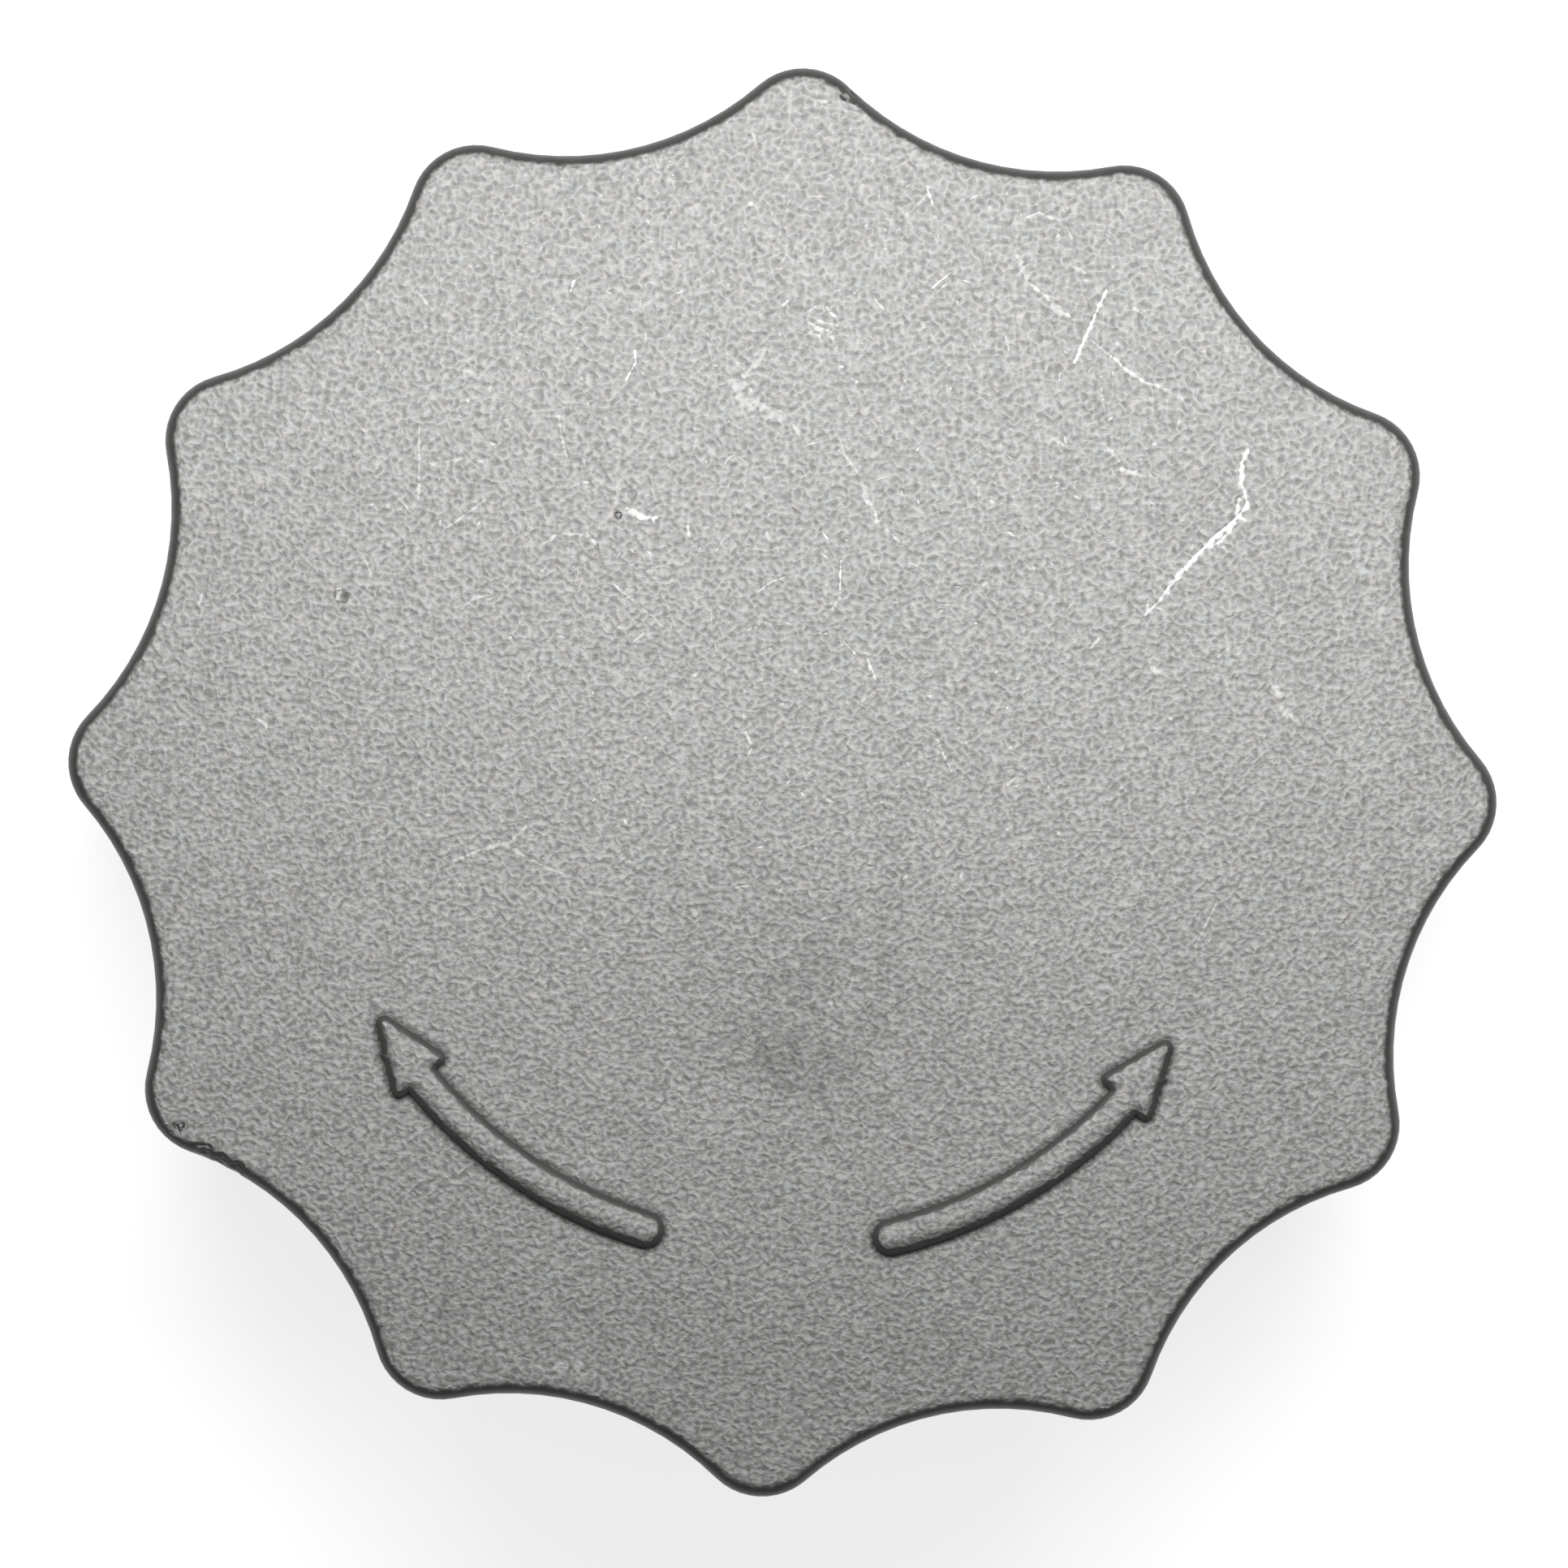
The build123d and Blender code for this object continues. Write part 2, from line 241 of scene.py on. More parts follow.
# The flat face becomes one sheet again, with a narrow border that keeps the edge round's shading off it,
# and is then cut into cells small enough to carry the marks of use.
sheet = [f for f in cap.faces if on_face(f)]
inside = unique(e for f in sheet for e in f.edges if all(on_face(other) for other in e.link_faces))
bmesh.ops.dissolve_limit(cap, angle_limit=0.01, use_dissolve_boundaries=False, verts=[],
                         edges=inside, delimit=set())
sheet = [f for f in cap.faces if on_face(f)]
bmesh.ops.inset_region(cap, faces=sheet, thickness=FACE_INSET, use_even_offset=True,
                       use_boundary=True)
for axis in (Vector((1, 0, 0)), Vector((0, 1, 0))):
    for cell in range(-FACE_CELLS, FACE_CELLS + 1):
        sheet = [f for f in sheet if f.is_valid]
        parts = sheet + [e for f in sheet for e in f.edges] + [v for f in sheet for v in f.verts]
        cut = bmesh.ops.bisect_plane(cap, geom=unique(parts), dist=0.0001,
                                     plane_co=axis * (cell * FACE_CELL + CELL_OFFSET), plane_no=axis)
        sheet = [part for part in cut["geom"] if isinstance(part, bmesh.types.BMFace)]


def distance_to_scratches(points):
    """For each point, how near it is to a scratch (1 on its line, 0 where its effect ends and past
    there), the distance to the nearest line, and the whiteness and depth of that scratch."""
    nearness = np.zeros(len(points))
    gap = np.full(len(points), 99.0)
    whiteness = np.zeros(len(points))
    depth = np.zeros(len(points))
    for white, half_width, deep, line in SCRATCHES_AND_HIGHLIGHT:
        for start, end in zip(line, line[1:]):
            start = np.array(start)
            along = np.array(end) - start
            share = np.clip((points - start) @ along / (along @ along), 0, 1)
            away = np.linalg.norm(points - start - share[:, None] * along, axis=1)
            near = np.clip(1 - away / (SCRATCH_REACH * half_width), 0, 1)
            gap = np.minimum(gap, away)
            closer = near > nearness
            nearness[closer] = near[closer]
            whiteness[closer] = white
            depth[closer] = deep
    return nearness, gap, whiteness, depth


def distance_to_spots(points, spots):
    """How near each point is to a pit or chip (1 in its middle, 0 at its edge), the distance to the
    nearest edge, and that spot's depth."""
    nearness = np.zeros(len(points))
    gap = np.full(len(points), 99.0)
    depth = np.zeros(len(points))
    for middle, radius, deep in spots:
        away = np.linalg.norm(points - np.array(middle), axis=1)
        near = np.clip(1 - away / radius, 0, 1)
        gap = np.minimum(gap, away - radius)
        depth = np.where(near > nearness, deep, depth)
        nearness = np.maximum(nearness, near)
    return nearness, gap, depth


# The two arrows are soft half-round ridges. Their faces are cut small and then raised by how far each
# point lies inside the arrow's outline, up to the CAD arrow's height.
ARROW_WALL = 0.15          # upright part of the side
ARROW_ROUND = 1.0          # the rounding above it runs this far in
ARROW_CELL = 0.3
ARROW_PASSES = 7
arrow_height = max(v.co.z for v in cap.verts) - FACE_LEVEL


def on_arrow(face):
    return face.calc_center_median().z > RAISED_FROM


for _ in range(ARROW_PASSES):
    bmesh.ops.triangulate(cap, faces=[f for f in cap.faces if on_arrow(f)])
    arrow_edges = unique(e for f in cap.faces if on_arrow(f) for e in f.edges)
    long_edges = [e for e in arrow_edges if e.calc_length() > ARROW_CELL]
    bmesh.ops.subdivide_edges(cap, edges=long_edges, cuts=1, use_grid_fill=True)
bmesh.ops.triangulate(cap, faces=[f for f in cap.faces if on_arrow(f)])
arrow_feet = np.array([[v.co[:2] for v in e.verts] for e in cap.edges
                       if any(on_arrow(f) for f in e.link_faces)
                       and any(on_face(f) for f in e.link_faces)])


def distance_to_arrow_feet(points):
    """How far each point is from the nearest line where an arrow meets the face."""
    gap = np.full(len(points), 99.0)
    for start, end in arrow_feet:
        along = end - start
        share = np.clip((points - start) @ along / max(along @ along, 1e-9), 0, 1)
        gap = np.minimum(gap, np.linalg.norm(points - start - share[:, None] * along, axis=1))
    return gap


raised = [v for v in cap.verts if v.co.z > RAISED_FROM]
inward = np.clip(distance_to_arrow_feet(np.array([v.co[:2] for v in raised])) / ARROW_ROUND, 0, 1)
for v, share in zip(raised, inward):
    v.co.z = min(v.co.z, FACE_LEVEL + ARROW_WALL)
    v.co.z += (arrow_height - ARROW_WALL) * math.sqrt(1 - (1 - share) ** 2)

# Round each mark the cells are halved three times, on the face and again on the rounded edge's chips.
# FOOT_MARGIN keeps the cells beside the arrows somewhat larger.
FOOT_MARGIN = 0.25
CHIP_MARGIN = 0.3
for reach, smallest in ((1.1, 0.45), (0.6, 0.24), (0.36, 0.12)):
    bmesh.ops.triangulate(cap, faces=[f for f in cap.faces if on_face(f)])
    sheet = [f for f in cap.faces if on_face(f)]
    middles = np.array([f.calc_center_median()[:2] for f in sheet])
    scratch_gap = distance_to_scratches(middles)[1]
    pit_gap = distance_to_spots(middles, PITS + CHIPS)[1]
    foot_gap = distance_to_arrow_feet(middles) + FOOT_MARGIN
    marked = np.minimum(np.minimum(scratch_gap, pit_gap), foot_gap) < reach
    near_marks = [f for f, is_marked in zip(sheet, marked) if is_marked]
    edges = unique(e for f in near_marks for e in f.edges if e.calc_length() > smallest)
    bmesh.ops.subdivide_edges(cap, edges=edges, cuts=1, use_grid_fill=True)


def on_rounded_edge(face):
    return face.calc_center_median().z > ROUNDED_EDGE_FROM and not on_face(face)


for smallest in (0.5, 0.25, 0.14):
    bmesh.ops.triangulate(cap, faces=[f for f in cap.faces if on_rounded_edge(f)])
    edge_faces = [f for f in cap.faces if on_rounded_edge(f)]
    middles = np.array([f.calc_center_median()[:2] for f in edge_faces])
    chip_gap = distance_to_spots(middles, CHIPS)[1]
    chipped = [f for f, gap in zip(edge_faces, chip_gap) if gap < CHIP_MARGIN]
    edges = unique(e for f in chipped for e in f.edges if e.calc_length() > smallest)
    bmesh.ops.subdivide_edges(cap, edges=edges, cuts=1, use_grid_fill=True)
bmesh.ops.triangulate(cap, faces=[f for f in cap.faces if on_face(f)])

# The marks are now pressed in: grooves with low lips, pits, and ragged chips.
cap.verts.ensure_lookup_table()
places = np.array([v.co[:2] for v in cap.verts])
levels = np.array([v.co.z for v in cap.verts])
top = levels > FACE_LEVEL - LEVEL_SLACK
edge_round = levels > ROUNDED_EDGE_FROM
scratch_near, _, scratch_white, scratch_deep = distance_to_scratches(places)
pit_near, _, pit_deep = distance_to_spots(places, PITS)
chip_near, _, chip_deep = distance_to_spots(places, CHIPS)
stain_and_shade_dark = np.zeros(len(places))
for middle, (length, breadth), lie, dark in STAINS_AND_SHADE:
    turn = math.radians(lie)
    turned = (places - np.array(middle)) @ np.array([[math.cos(turn), -math.sin(turn)],
                                                     [math.sin(turn), math.cos(turn)]])
    near = np.clip(1 - np.linalg.norm(turned / np.array([length, breadth]), axis=1), 0, 1)
    stain_and_shade_dark = np.maximum(stain_and_shade_dark, dark * near)
# Painted shade lies round the arrows' feet, and a painted shadow reaches furthest up the side that faces -Y,
# away from the light.
SHADE_REACH = 0.34
SHADE_REACH_MORE = 0.60
LEAST_SLOPE = 0.02
cap.normal_update()
foot_gap = distance_to_arrow_feet(places)
reach = np.full(len(places), SHADE_REACH)
for i, v in enumerate(cap.verts):
    if levels[i] > RAISED_FROM and v.normal.xy.length > LEAST_SLOPE:
        reach[i] += SHADE_REACH_MORE * math.sqrt(max(0, -v.normal.xy.normalized().y))
foot_shade = np.clip(1.5 * (1 - foot_gap / reach), 0, 1)
scratch_layer = cap.verts.layers.float.new("scratch_near")
white_layer = cap.verts.layers.float.new("scratch_white")
pit_layer = cap.verts.layers.float.new("pit_near")
stain_and_shade_layer = cap.verts.layers.float.new("stain_and_shade_dark")
foot_shade_layer = cap.verts.layers.float.new("foot_shade")
for i, v in enumerate(cap.verts):
    if edge_round[i] and chip_near[i] > 0:
        ragged = 0.6 + 0.8 * noise.noise(v.co * 3.1)
        v.co -= v.normal * chip_deep[i] * min(1, 2 * chip_near[i]) * ragged
        v[pit_layer] = 0.6 * chip_near[i]
    if not top[i]:
        continue
    groove = max(0, 2 * scratch_near[i] - 1)
    lip = max(0, 1 - abs(2 * scratch_near[i] - 0.7) / 0.5)
    v.co.z += scratch_deep[i] * (0.25 * lip - groove)
    v.co.z -= pit_deep[i] * min(1, 1.6 * pit_near[i])
    v[scratch_layer] = scratch_near[i]
    v[white_layer] = scratch_white[i]
    v[pit_layer] = max(v[pit_layer], pit_near[i])
    v[stain_and_shade_layer] = stain_and_shade_dark[i]
    v[foot_shade_layer] = foot_shade[i]
for f in cap.faces:
    f.smooth = True
for e in cap.edges:
    e.smooth = e.calc_face_angle(0) < SHARP_EDGE_ANGLE
bmesh.ops.scale(cap, vec=(METRES_PER_MM,) * 3, verts=cap.verts)
worn_cap_mesh = bpy.data.meshes.new("worn_cap")
cap.to_mesh(worn_cap_mesh)
cap.free()
worn_cap = bpy.data.objects.new("worn_cap", worn_cap_mesh)
bpy.context.scene.collection.objects.link(worn_cap)


def srgb(colour):
    """A colour written as sRGB hex, such as "#A4A4A2", in the linear values that a shader takes."""
    parts = [int(colour[i:i + 2], 16) / 255 for i in (1, 3, 5)]
    return tuple(p / 12.92 if p <= 0.04045 else ((p + 0.055) / 1.055) ** 2.4 for p in parts) + (1.0,)


def add_node(tree, kind, sockets=None, **settings):
    """Adds one node, with its settings, and its sockets set to values or linked to other nodes' outputs."""
    node = tree.nodes.new(kind)
    for name, value in settings.items():
        setattr(node, name, value)
    for socket, value in (sockets or {}).items():
        if isinstance(value, bpy.types.NodeSocket):
            tree.links.new(value, node.inputs[socket])
        else:
            node.inputs[socket].default_value = value
    return node


# Glass-filled nylon 6, moulded. Where the mould was spark-eroded the face has a fine worm-like grain and is
# coloured light grey, partly from wear and bleaching and partly as a painted sheen; the rounded edges, walls
# and underside are smoother, dark nylon with a soft gloss.
nylon = bpy.data.materials.new("spark_eroded_glass_filled_nylon")
nylon.use_nodes = True
tree = nylon.node_tree
tree.nodes.clear()

GRAIN_CELL = 0.285         # mm, the width of one worm of the spark-eroded grain
FIBRE_CELL = 0.12          # mm, the glass fibres' ends between them
GRAIN_DEPTH = 0.00011      # metres

place = add_node(tree, "ShaderNodeTexCoord")
spot = add_node(tree, "ShaderNodeVectorMath",
                {0: place.outputs["Object"], "Scale": 1000.0}, operation="SCALE")
spot = spot.outputs[0]
bend = add_node(tree, "ShaderNodeTexNoise", {"Vector": spot, "Scale": 2.0, "Detail": 0.0})
bend = add_node(tree, "ShaderNodeVectorMath",
                {0: bend.outputs["Color"], 1: (0.5, 0.5, 0.5)}, operation="SUBTRACT")
bend = add_node(tree, "ShaderNodeVectorMath", {0: bend.outputs[0], "Scale": 0.3}, operation="SCALE")
bent = add_node(tree, "ShaderNodeVectorMath", {0: spot, 1: bend.outputs[0]}, operation="ADD").outputs[0]
worms = add_node(tree, "ShaderNodeTexNoise", {"Vector": bent, "Scale": 1 / GRAIN_CELL, "Detail": 0.0})
worms = add_node(tree, "ShaderNodeMapRange",
                 {"Value": worms.outputs["Fac"], "From Min": 0.17, "From Max": 0.83})
fibres = add_node(tree, "ShaderNodeTexNoise", {"Vector": spot, "Scale": 1 / FIBRE_CELL, "Detail": 0.0})
fibres = add_node(tree, "ShaderNodeMapRange",
                  {"Value": fibres.outputs["Fac"], "From Min": 0.2, "From Max": 0.8})
grain = add_node(tree, "ShaderNodeMix", {"Factor": 0.18, "A": worms.outputs[0], "B": fibres.outputs[0]})
grain = grain.outputs[0]

# Face and walls are told apart by which way the surface points, softly over the rounded edge. This split is
# partly the face's grain, wear and bleaching, and partly a painted sheen on the face and painted shade on
# the slopes.
facing = add_node(tree, "ShaderNodeSeparateXYZ", {0: place.outputs["Normal"]})
facing_with_wobble = add_node(tree, "ShaderNodeTexNoise",
                  {"Vector": spot, "Scale": 1.4, "Detail": 3.0, "Roughness": 0.6})
facing_with_wobble = add_node(tree, "ShaderNodeMath",
                  {0: facing_with_wobble.outputs["Fac"], 1: 0.24, 2: -0.12}, operation="MULTIPLY_ADD")
facing_with_wobble = add_node(tree, "ShaderNodeMath", {0: facing.outputs["Z"], 1: facing_with_wobble.outputs[0]}, operation="ADD")
face_share_and_painted_sheen = add_node(tree, "ShaderNodeMapRange",
                  {"Value": facing_with_wobble.outputs[0], "From Min": 0.85, "From Max": 0.96},
                  interpolation_type="SMOOTHSTEP").outputs[0]

# Face colour: grain from darker valley to brighter crest, the valleys partly dirt and partly painted shade,
# the crests a painted highlight of the grain's relief; uneven over a few millimetres.
face_colour = add_node(tree, "ShaderNodeMix",
                       {"Factor": grain, "A": srgb("#727270"), "B": srgb("#C3C3C1")},
                       data_type="RGBA")
tint = add_node(tree, "ShaderNodeTexNoise", {"Vector": spot, "Scale": 1.7, "Detail": 2.0})
tint = add_node(tree, "ShaderNodeMapRange",
                {"Value": tint.outputs["Fac"], "From Min": 0.35, "From Max": 0.65})
tinted = add_node(tree, "ShaderNodeMix",
                  {"Factor": tint.outputs[0], "A": srgb("#FFFBF7"), "B": srgb("#F8FCFF")}, data_type="RGBA")
face_colour = add_node(tree, "ShaderNodeMix",
                       {"Factor": 1.0, "A": face_colour.outputs["Result"], "B": tinted.outputs["Result"]},
                       data_type="RGBA", blend_type="MULTIPLY")
uneven = add_node(tree, "ShaderNodeTexNoise",
                  {"Vector": spot, "Scale": 0.3, "Detail": 4.0, "Roughness": 0.6})
uneven = add_node(tree, "ShaderNodeMapRange",
                  {"Value": uneven.outputs["Fac"], "From Min": 0.3, "From Max": 0.7,
                   "To Min": 0.0, "To Max": 0.16})
face_colour = add_node(tree, "ShaderNodeMix",
                       {"Factor": uneven.outputs[0], "A": face_colour.outputs["Result"],
                        "B": srgb("#6E6D6B")},
                       data_type="RGBA")

# Stains of dried oil, soft-edged and blotchy, together with painted shade over the lower middle and in one
# pit, and the painted shade round the arrows' feet.
stain_and_shade = add_node(tree, "ShaderNodeAttribute", attribute_name="stain_and_shade_dark")
blotch = add_node(tree, "ShaderNodeTexNoise",
                  {"Vector": spot, "Scale": 1.1, "Detail": 4.0, "Roughness": 0.65})
blotch = add_node(tree, "ShaderNodeMapRange",
                  {"Value": blotch.outputs["Fac"], "From Min": 0.35, "From Max": 0.65,
                   "To Min": 0.25, "To Max": 1.0})
stain_and_shade = add_node(tree, "ShaderNodeMath",
                 {0: stain_and_shade.outputs["Fac"], 1: blotch.outputs[0]}, operation="MULTIPLY")
stain_and_shade = add_node(tree, "ShaderNodeMapRange", {"Value": stain_and_shade.outputs[0], "From Max": 0.75, "To Max": 0.5},
                 interpolation_type="SMOOTHSTEP")
face_colour = add_node(tree, "ShaderNodeMix",
                       {"Factor": stain_and_shade.outputs[0], "A": face_colour.outputs["Result"],
                        "B": srgb("#4C4B49")},
                       data_type="RGBA")

# Painted shade at the arrows' feet and painted shadow up their -Y sides.
painted_foot_shade = add_node(tree, "ShaderNodeAttribute", attribute_name="foot_shade")
painted_foot_shade = add_node(tree, "ShaderNodeMath", {0: painted_foot_shade.outputs["Fac"], 1: 0.72}, operation="MULTIPLY")
face_colour = add_node(tree, "ShaderNodeMix",
                       {"Factor": painted_foot_shade.outputs[0], "A": face_colour.outputs["Result"], "B": srgb("#3C3C3A")},
                       data_type="RGBA")

# Scratches whiten the nylon, and catch the crests of the grain first.
scratch = add_node(tree, "ShaderNodeAttribute", attribute_name="scratch_near")
white = add_node(tree, "ShaderNodeAttribute", attribute_name="scratch_white")
crest = add_node(tree, "ShaderNodeMath", {0: grain, 1: 0.8, 2: -0.38}, operation="MULTIPLY_ADD")
ragged = add_node(tree, "ShaderNodeMath", {0: scratch.outputs["Fac"], 1: crest.outputs[0]}, operation="ADD")
scratched = add_node(tree, "ShaderNodeMapRange",
                     {"Value": ragged.outputs[0], "From Min": 0.32, "From Max": 0.80},
                     interpolation_type="SMOOTHSTEP")
touched = add_node(tree, "ShaderNodeMath", {0: scratch.outputs["Fac"], 1: 0.05}, operation="GREATER_THAN")
scratched = add_node(tree, "ShaderNodeMath",
                     {0: scratched.outputs[0], 1: touched.outputs[0]}, operation="MULTIPLY")
scratched = add_node(tree, "ShaderNodeMath",
                     {0: scratched.outputs[0], 1: white.outputs["Fac"]}, operation="MULTIPLY")
scratched = add_node(tree, "ShaderNodeMath",
                     {0: scratched.outputs[0], 1: 1.1}, operation="MULTIPLY", use_clamp=True)

# Small flecks and hairline marks from handling, thickest on the upper half of the face.
flat_spot = add_node(tree, "ShaderNodeVectorMath", {0: spot, 1: (1, 1, 0)}, operation="MULTIPLY").outputs[0]
worn_zone = add_node(tree, "ShaderNodeVectorMath", {0: flat_spot, 1: (0, 13, 0)}, operation="DISTANCE")
worn_zone = add_node(tree, "ShaderNodeMapRange",
                     {"Value": worn_zone.outputs["Value"], "From Min": 16.0, "From Max": 34.0,
                      "To Min": 1.0, "To Max": 0.12}, interpolation_type="SMOOTHSTEP").outputs[0]
marks = scratched.outputs[0]
for across, stroke_length, stroke_width, rarity, brightness in (
    (1.2, 0.16, 0.09, 0.60, 0.85),
    (2.3, 0.45, 0.06, 0.58, 0.55),
    (5.0, 1.10, 0.05, 0.50, 0.42),
):
    sway = add_node(tree, "ShaderNodeTexNoise", {"Vector": flat_spot, "Scale": 0.5, "Detail": 0.0})
    sway = add_node(tree, "ShaderNodeVectorMath",
                    {0: sway.outputs["Color"], "Scale": 1.5}, operation="SCALE")
    swayed = add_node(tree, "ShaderNodeVectorMath", {0: flat_spot, 1: sway.outputs[0]}, operation="ADD")
    swayed = add_node(tree, "ShaderNodeVectorMath",
                      {0: swayed.outputs[0], 1: (1, 1, 0)}, operation="MULTIPLY")
    cell = add_node(tree, "ShaderNodeTexVoronoi", {"Vector": swayed.outputs[0], "Scale": 1 / across},
                    voronoi_dimensions="2D")
    chance = add_node(tree, "ShaderNodeSeparateColor", {0: cell.outputs["Color"]})
    offset = add_node(tree, "ShaderNodeVectorMath", {0: swayed.outputs[0], 1: cell.outputs["Position"]},
                      operation="SUBTRACT")
    angle = add_node(tree, "ShaderNodeMath", {0: chance.outputs[0], 1: 2 * math.pi}, operation="MULTIPLY")
    turned = add_node(tree, "ShaderNodeVectorRotate",
                      {"Vector": offset.outputs[0], "Angle": angle.outputs[0]},
                      rotation_type="Z_AXIS")
    stroke = add_node(tree, "ShaderNodeVectorMath",
                      {0: turned.outputs[0], 1: (1 / stroke_length, 1 / stroke_width, 0)},
                      operation="MULTIPLY")
    stroke = add_node(tree, "ShaderNodeVectorMath", {0: stroke.outputs[0]}, operation="LENGTH")
    stroke = add_node(tree, "ShaderNodeMapRange",
                      {"Value": stroke.outputs["Value"], "From Min": 1.2, "From Max": 0.3},
                      interpolation_type="SMOOTHSTEP")
    kept = add_node(tree, "ShaderNodeMath", {0: chance.outputs[1], 1: rarity}, operation="GREATER_THAN")
    stroke = add_node(tree, "ShaderNodeMath",
                      {0: stroke.outputs[0], 1: kept.outputs[0]}, operation="MULTIPLY")
    stroke = add_node(tree, "ShaderNodeMath",
                      {0: stroke.outputs[0], 1: chance.outputs[2]}, operation="MULTIPLY")
    stroke = add_node(tree, "ShaderNodeMath", {0: stroke.outputs[0], 1: worn_zone}, operation="MULTIPLY")
    stroke = add_node(tree, "ShaderNodeMath", {0: stroke.outputs[0], 1: brightness}, operation="MULTIPLY")
    marks = add_node(tree, "ShaderNodeMath",
                     {0: marks, 1: stroke.outputs[0]}, operation="MAXIMUM").outputs[0]
face_colour = add_node(tree, "ShaderNodeMix",
                       {"Factor": marks, "A": face_colour.outputs["Result"], "B": srgb("#E4E4E2")},
                       data_type="RGBA")

# Walls and underside: dark smooth nylon with faint flow streaks.
streak = add_node(tree, "ShaderNodeVectorMath", {0: spot, 1: (1.0, 1.0, 0.15)}, operation="MULTIPLY")
streak = add_node(tree, "ShaderNodeTexNoise", {"Vector": streak.outputs[0], "Scale": 1.3, "Detail": 4.0})
wall_colour = add_node(tree, "ShaderNodeMix",
                       {"Factor": streak.outputs["Fac"], "A": srgb("#363635"), "B": srgb("#4F4F4D")},
                       data_type="RGBA")
# Light face over dark walls and slopes: partly wear and bleaching, partly painted sheen on the face and
# painted shade on the slopes.
colour = add_node(tree, "ShaderNodeMix",
                  {"Factor": face_share_and_painted_sheen, "A": wall_colour.outputs["Result"], "B": face_colour.outputs["Result"]},
                  data_type="RGBA")
# Pits and chips darkened: painted shade in the recesses.
pit = add_node(tree, "ShaderNodeAttribute", attribute_name="pit_near")
pit_painted_shade = add_node(tree, "ShaderNodeMapRange",
                    {"Value": pit.outputs["Fac"], "From Max": 0.5, "To Max": 0.35})
colour = add_node(tree, "ShaderNodeMix",
                  {"Factor": pit_painted_shade.outputs[0], "A": colour.outputs["Result"], "B": srgb("#3A3A39")},
                  data_type="RGBA")

height = add_node(tree, "ShaderNodeMath", {0: grain, 1: face_share_and_painted_sheen}, operation="MULTIPLY")
height = add_node(tree, "ShaderNodeMath",
                  {0: marks, 1: -0.5, 2: height.outputs[0]}, operation="MULTIPLY_ADD")
relief = add_node(tree, "ShaderNodeBump",
                  {"Height": height.outputs[0], "Strength": 1.0, "Distance": GRAIN_DEPTH})
sheen = add_node(tree, "ShaderNodeMapRange",
                 {"Value": face_share_and_painted_sheen, "To Min": 0.42, "To Max": 0.56})
finish = add_node(tree, "ShaderNodeBsdfPrincipled",
                  {"Base Color": colour.outputs["Result"], "Roughness": sheen.outputs[0], "IOR": 1.53,
                   "Normal": relief.outputs[0]})
add_node(tree, "ShaderNodeOutputMaterial", {"Surface": finish.outputs[0]})

worn_cap_mesh.materials.append(nylon)
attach(worn_cap, "root")
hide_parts("cap_body")

# ---- Sealing ring ---------------------------------------------------------------------------------
# A flat ring cut from moulded nitrile rubber, stretched over the spigot and pressed up under the grip.
# It is the CAD solid, with a rubber finish.

# Nitrile rubber, compression moulded: near black and matt, with a faint grey bloom and a very fine grain.
rubber = bpy.data.materials.new("moulded_nitrile_rubber")
rubber.use_nodes = True
tree = rubber.node_tree
tree.nodes.clear()
place = add_node(tree, "ShaderNodeTexCoord")
spot = add_node(tree, "ShaderNodeVectorMath",
                {0: place.outputs["Object"], "Scale": 1000.0}, operation="SCALE")
bloom = add_node(tree, "ShaderNodeTexNoise", {"Vector": spot.outputs[0], "Scale": 0.35, "Detail": 5.0})
bloom = add_node(tree, "ShaderNodeMapRange",
                 {"Value": bloom.outputs["Fac"], "From Min": 0.4, "From Max": 0.75})
rubber_colour = add_node(tree, "ShaderNodeMix",
                         {"Factor": bloom.outputs[0], "A": srgb("#1A1A1A"), "B": srgb("#343433")},
                         data_type="RGBA")
skin = add_node(tree, "ShaderNodeTexNoise", {"Vector": spot.outputs[0], "Scale": 4.0, "Detail": 2.0})
relief = add_node(tree, "ShaderNodeBump",
                  {"Height": skin.outputs["Fac"], "Strength": 0.4, "Distance": 0.00003})
finish = add_node(tree, "ShaderNodeBsdfPrincipled",
                  {"Base Color": rubber_colour.outputs["Result"], "Roughness": 0.62, "IOR": 1.52,
                   "Normal": relief.outputs[0]})
add_node(tree, "ShaderNodeOutputMaterial", {"Surface": finish.outputs[0]})
seal_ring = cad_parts["seal_ring"]
seal_ring.data.materials.clear()
seal_ring.data.materials.append(rubber)

# ---- Floor, light and camera ----------------------------------------------------------------------
# A plain white studio floor under the spigot, one broad soft light just above the upper half of the face,
# and a camera looking straight down.

FLOOR_SIZE = 6.0
floor_mesh = bpy.data.meshes.new("studio_floor")
floor_shape = bmesh.new()
bmesh.ops.create_grid(floor_shape, x_segments=1, y_segments=1, size=FLOOR_SIZE / 2)
bmesh.ops.translate(floor_shape, vec=(0, 0, cad_box[0][2]), verts=floor_shape.verts)
floor_shape.to_mesh(floor_mesh)
floor_shape.free()
floor = bpy.data.objects.new("studio_floor", floor_mesh)
bpy.context.scene.collection.objects.link(floor)

# Matt white board. Seen straight on it glows a little, so that it stays white while it keeps the shadow.
board = bpy.data.materials.new("matt_white_board")
board.use_nodes = True
tree = board.node_tree
tree.nodes.clear()
paths = add_node(tree, "ShaderNodeLightPath")
seen = add_node(tree, "ShaderNodeMath",
                {0: paths.outputs["Is Camera Ray"], 1: paths.outputs["Is Glossy Ray"]},
                operation="MAXIMUM")
place = add_node(tree, "ShaderNodeTexCoord")
far = add_node(tree, "ShaderNodeVectorMath", {0: place.outputs["Object"]}, operation="LENGTH")
glow = add_node(tree, "ShaderNodeMapRange",
                {"Value": far.outputs["Value"], "From Min": 0.08, "From Max": 0.6,
                 "To Min": 0.76, "To Max": 0.9},
                interpolation_type="SMOOTHSTEP")
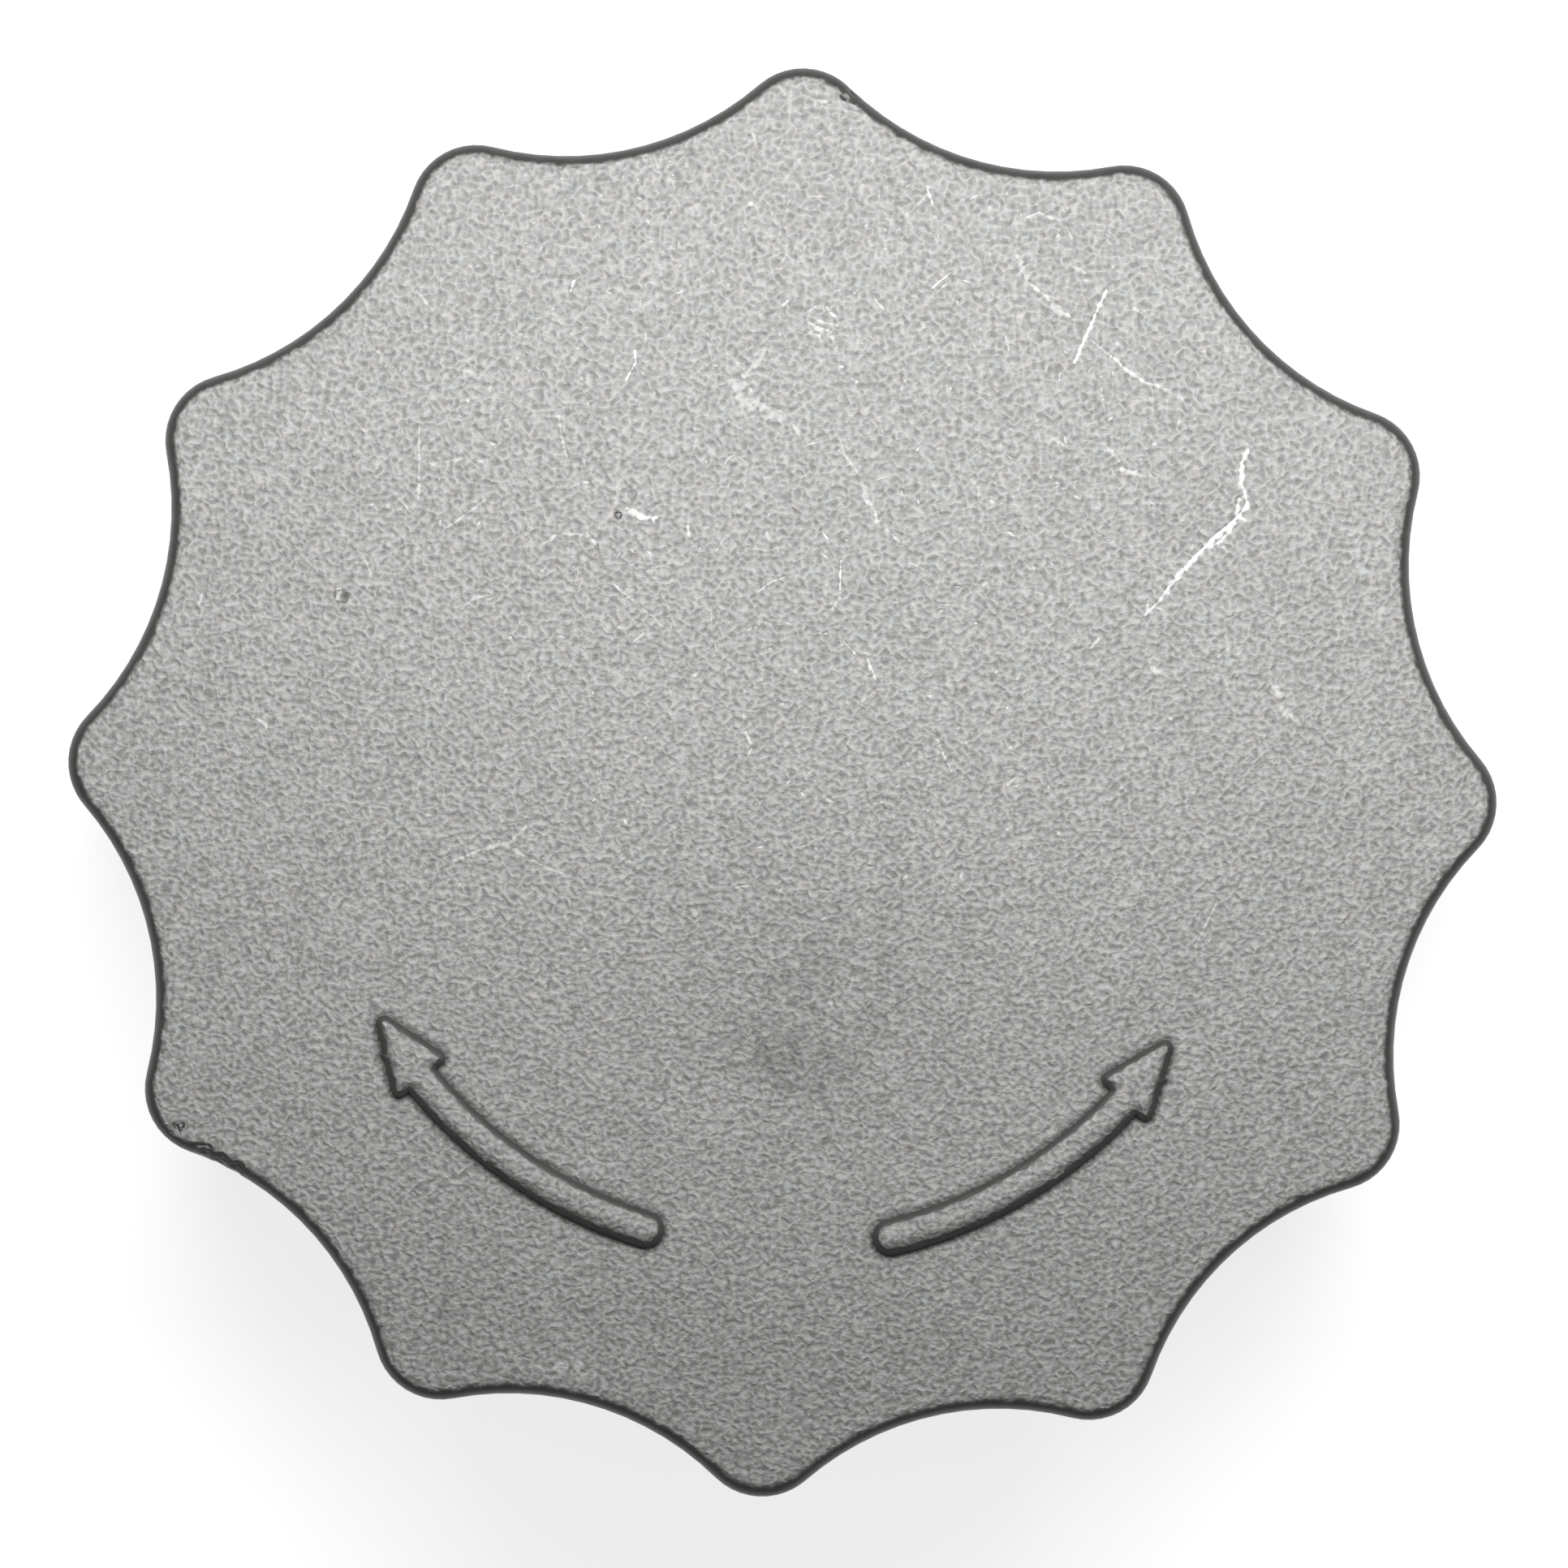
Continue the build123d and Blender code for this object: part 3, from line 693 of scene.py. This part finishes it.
glow = add_node(tree, "ShaderNodeMath", {0: glow.outputs[0], 1: seen.outputs[0]}, operation="MULTIPLY")
lit = add_node(tree, "ShaderNodeBsdfDiffuse", {"Color": srgb("#E4E4E3")})
glowing = add_node(tree, "ShaderNodeEmission", {"Strength": glow.outputs[0]})
both = add_node(tree, "ShaderNodeAddShader", {0: lit.outputs[0], 1: glowing.outputs[0]})
add_node(tree, "ShaderNodeOutputMaterial", {"Surface": both.outputs[0]})
floor_mesh.materials.append(board)

world = bpy.data.worlds.new("studio")
bpy.context.scene.world = world
world.use_nodes = True
tree = world.node_tree
tree.nodes.clear()
paths = add_node(tree, "ShaderNodeLightPath")
surround = add_node(tree, "ShaderNodeBackground", {"Color": srgb("#FFFFFF"), "Strength": 0.15})
backdrop = add_node(tree, "ShaderNodeBackground", {"Color": srgb("#FFFFFF"), "Strength": 1.0})
either = add_node(tree, "ShaderNodeMixShader",
                  {0: paths.outputs["Is Camera Ray"], 1: surround.outputs[0], 2: backdrop.outputs[0]})
add_node(tree, "ShaderNodeOutputWorld", {"Surface": either.outputs[0]})

softbox_light = bpy.data.lights.new("softbox", "AREA")
softbox_light.shape = "RECTANGLE"
softbox_light.size = 0.15
softbox_light.size_y = 0.05
softbox_light.energy = 0.136
softbox = bpy.data.objects.new("softbox", softbox_light)
softbox.location = (0.008, 0.035, 0.082)
softbox.visible_camera = False
bpy.context.scene.collection.objects.link(softbox)

CAMERA_ABOVE_FACE = 0.750
CAMERA_TURN = math.radians(1.8)
FRAME_WIDTH = 0.085525
camera_data = bpy.data.cameras.new("overhead_camera")
camera_data.sensor_width = 36
camera_data.lens = 36 * CAMERA_ABOVE_FACE / FRAME_WIDTH
camera_data.clip_start = 0.01
camera_data.clip_end = 20
camera = bpy.data.objects.new("overhead_camera", camera_data)
camera.location = (0.000087, -0.000086, FACE_LEVEL * METRES_PER_MM + CAMERA_ABOVE_FACE)
camera.rotation_euler = (0, 0, CAMERA_TURN)
bpy.context.scene.collection.objects.link(camera)
bpy.context.scene.camera = camera
bpy.context.scene.view_settings.view_transform = "Standard"
